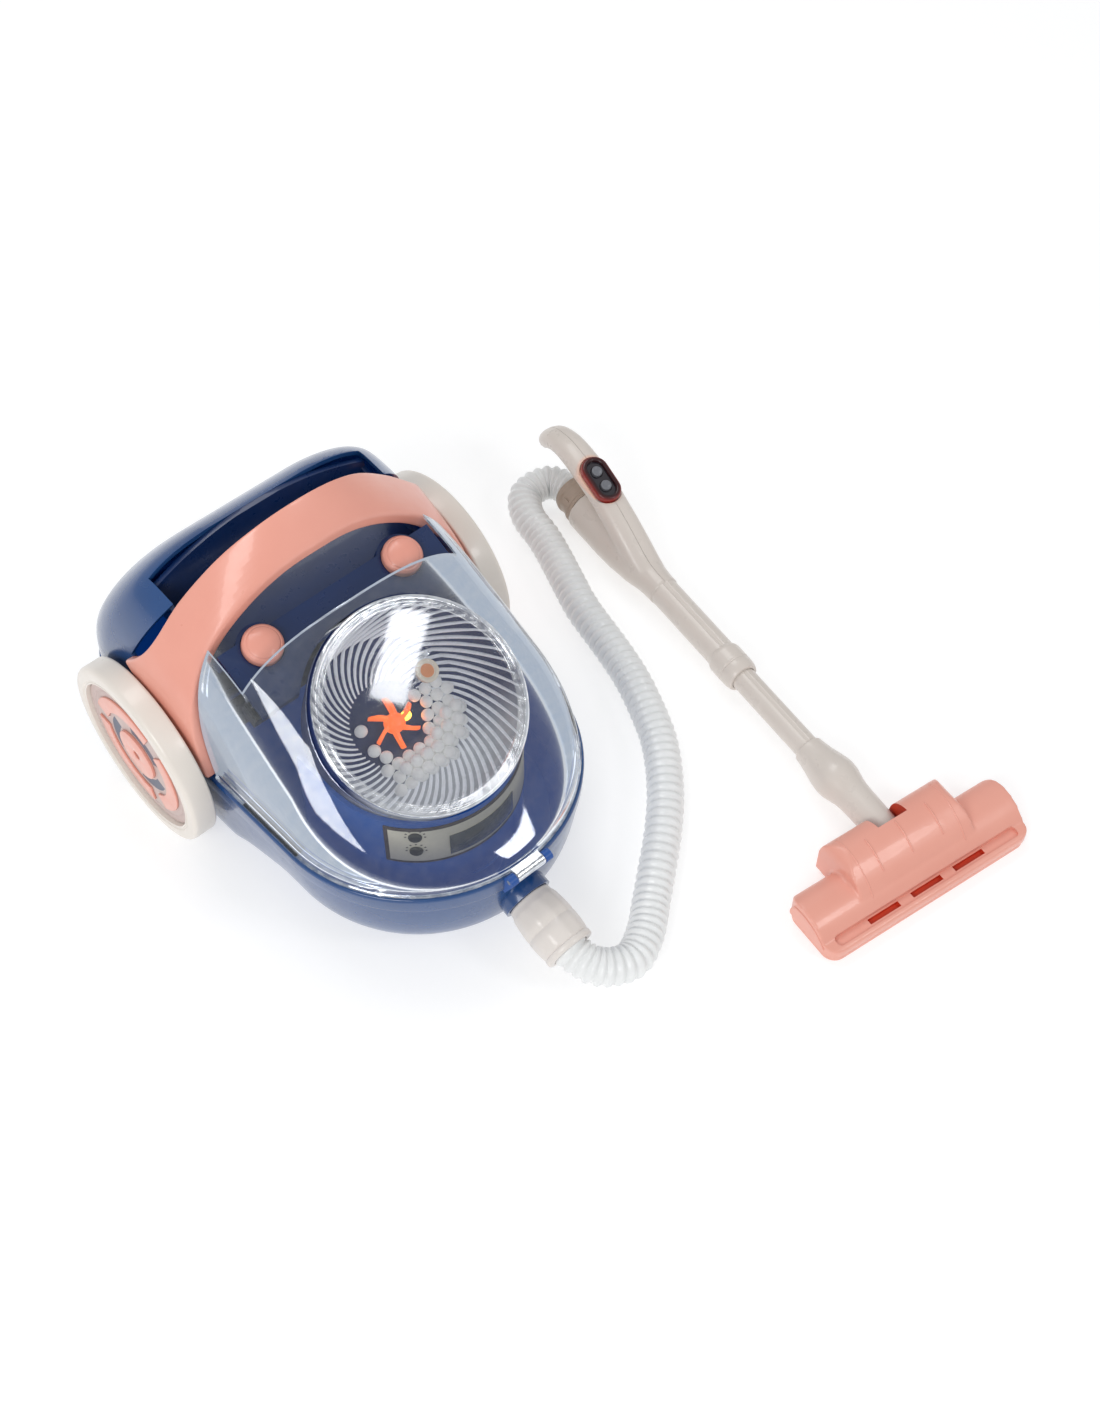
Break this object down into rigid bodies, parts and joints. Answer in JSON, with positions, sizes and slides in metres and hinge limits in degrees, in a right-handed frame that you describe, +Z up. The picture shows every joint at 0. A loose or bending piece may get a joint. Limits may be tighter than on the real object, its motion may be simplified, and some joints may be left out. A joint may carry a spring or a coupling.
{
  "type": "toy vacuum cleaner",
  "caption": "Toy canister vacuum cleaner: wheeled tub with clear hinged dome over a dust cup, carry handle, ribbed hose, telescopic wand with bow grip and tilting floor head",
  "frame": {"origin": "Middle of the footprint of the canister and the wand together, on the floor under the wheels and the floor head.", "axes": "+Z up; -Y is the way the canister faces; +X from the canister towards the wand."},
  "size_m": [0.3278, 0.3826, 0.1787],
  "materials": {
    "blue": "moulded, high gloss",
    "navy": "moulded, gloss",
    "salmon": "moulded, satin gloss",
    "clear": "clear polystyrene",
    "cream": "moulded, satin",
    "grey": "moulded, matt",
    "black": "moulded, matt",
    "steel": "plain steel",
    "hose_white": "blow-moulded, translucent",
    "cuff_brown": "soft vinyl",
    "panel_beige": "printed label",
    "orange": "translucent, lit",
    "red": "moulded, gloss",
    "bead_white": "foam",
    "board_green": "laminate",
    "cell": "sleeved cell",
    "brass": "plated"
  },
  "bodies": {
    "canister": {"tub": "blue", "rear_shell": "blue", "cup_shroud": "blue", "hose_port": "blue", "battery_door": "blue", "button_deck": "navy", "carry_handle": "salmon", "dust_cup": "clear", "cup_window": "clear", "hose_cuff": "cream", "upper_tube": "cream", "tube_collar": "cream", "grip_right": "cream", "grip_left": "cream", "token": "cream", "left_latch": "black", "right_latch": "black", "panel_dials": "black", "panel_screen": "black", "control_plate": "black", "motor_mount": "black", "battery_box": "black", "speaker": "black", "hinge_pin": "steel", "axle": "steel", "left_button_spring": "steel", "right_button_spring": "steel", "drive_motor": "steel", "door_screw": "steel", "shell_screws": "steel", "hose": "hose_white", "wand_cuff": "cuff_brown", "control_panel": "panel_beige", "led": "orange", "plate_rim": "red", "beads": "bead_white", "circuit_board": "board_green", "batteries": "cell", "battery_contacts": "brass"},
    "dome": {"dome_cover": "clear"},
    "left_button_body": {"left_button": "salmon"},
    "right_button_body": {"right_button": "salmon"},
    "left_wheel_body": {"left_wheel": "cream", "left_wheel_disc": "grey", "left_wheel_trim": "salmon"},
    "right_wheel_body": {"right_wheel": "cream", "right_wheel_disc": "grey", "right_wheel_trim": "salmon"},
    "castor": {"castor_fork": "black", "castor_pin": "steel"},
    "roller": {"castor_roller": "cream"},
    "spinner_body": {"spinner": "orange"},
    "lower_wand": {"lower_tube": "cream", "elbow": "cream"},
    "floor_head": {"head_top": "salmon", "pin_bosses": "salmon", "head_sole": "salmon", "neck_pin": "steel"},
    "front_key_body": {"front_key": "grey"},
    "rear_key_body": {"rear_key": "grey"}
  },
  "joints": [
    {"name": "dome_hinge", "type": "hinge", "parent": "canister", "child": "dome", "pos_m": [-0.06387, -0.06669, 0.0605], "axis": [1, 0, 0], "range_deg": [0, 55]},
    {"name": "left_button_press", "type": "slide", "parent": "canister", "child": "left_button_body", "axis": [0, 0.3739, -0.9275], "range_m": [0, 0.003], "stiffness_N_per_m": 250, "springref_m": -0.001, "deforming": ["left_button_spring"]},
    {"name": "right_button_press", "type": "slide", "parent": "canister", "child": "right_button_body", "axis": [0, 0.3739, -0.9275], "range_m": [0, 0.003], "stiffness_N_per_m": 250, "springref_m": -0.001, "deforming": ["right_button_spring"]},
    {"name": "left_wheel_spin", "type": "hinge", "parent": "canister", "child": "left_wheel_body", "pos_m": [-0.15687, 0.11331, 0.05], "axis": [1, 0, 0], "continuous": true},
    {"name": "right_wheel_spin", "type": "hinge", "parent": "canister", "child": "right_wheel_body", "pos_m": [0.02914, 0.11331, 0.05], "axis": [1, 0, 0], "continuous": true},
    {"name": "castor_swivel", "type": "hinge", "parent": "canister", "child": "castor", "pos_m": [-0.06387, -0.01469, 0.022], "axis": [0, 0, 1], "continuous": true},
    {"name": "castor_roll", "type": "hinge", "parent": "castor", "child": "roller", "pos_m": [-0.06387, -0.00869, 0.0075], "axis": [1, 0, 0], "continuous": true},
    {"name": "spinner_spin", "type": "hinge", "parent": "canister", "child": "spinner_body", "pos_m": [-0.06387, 0.00831, 0.1114], "axis": [0, -0.5195, 0.8545], "continuous": true},
    {"name": "wand_slide", "type": "slide", "parent": "canister", "child": "lower_wand", "axis": [0.1219, 0.9925, 0], "range_m": [0, 0.045]},
    {"name": "head_tilt", "type": "hinge", "parent": "lower_wand", "child": "floor_head", "pos_m": [0.10114, -0.14869, 0.015], "axis": [0.9925, -0.1219, 0], "range_deg": [-45, 0]},
    {"name": "front_key_press", "type": "slide", "parent": "canister", "child": "front_key_body", "axis": [0.0396, 0.3227, -0.9457], "range_m": [0, 0.0008], "stiffness_N_per_m": 300, "springref_m": -0.0004},
    {"name": "rear_key_press", "type": "slide", "parent": "canister", "child": "rear_key_body", "axis": [0.0396, 0.3227, -0.9457], "range_m": [0, 0.0008], "stiffness_N_per_m": 300, "springref_m": -0.0004}
  ]
}
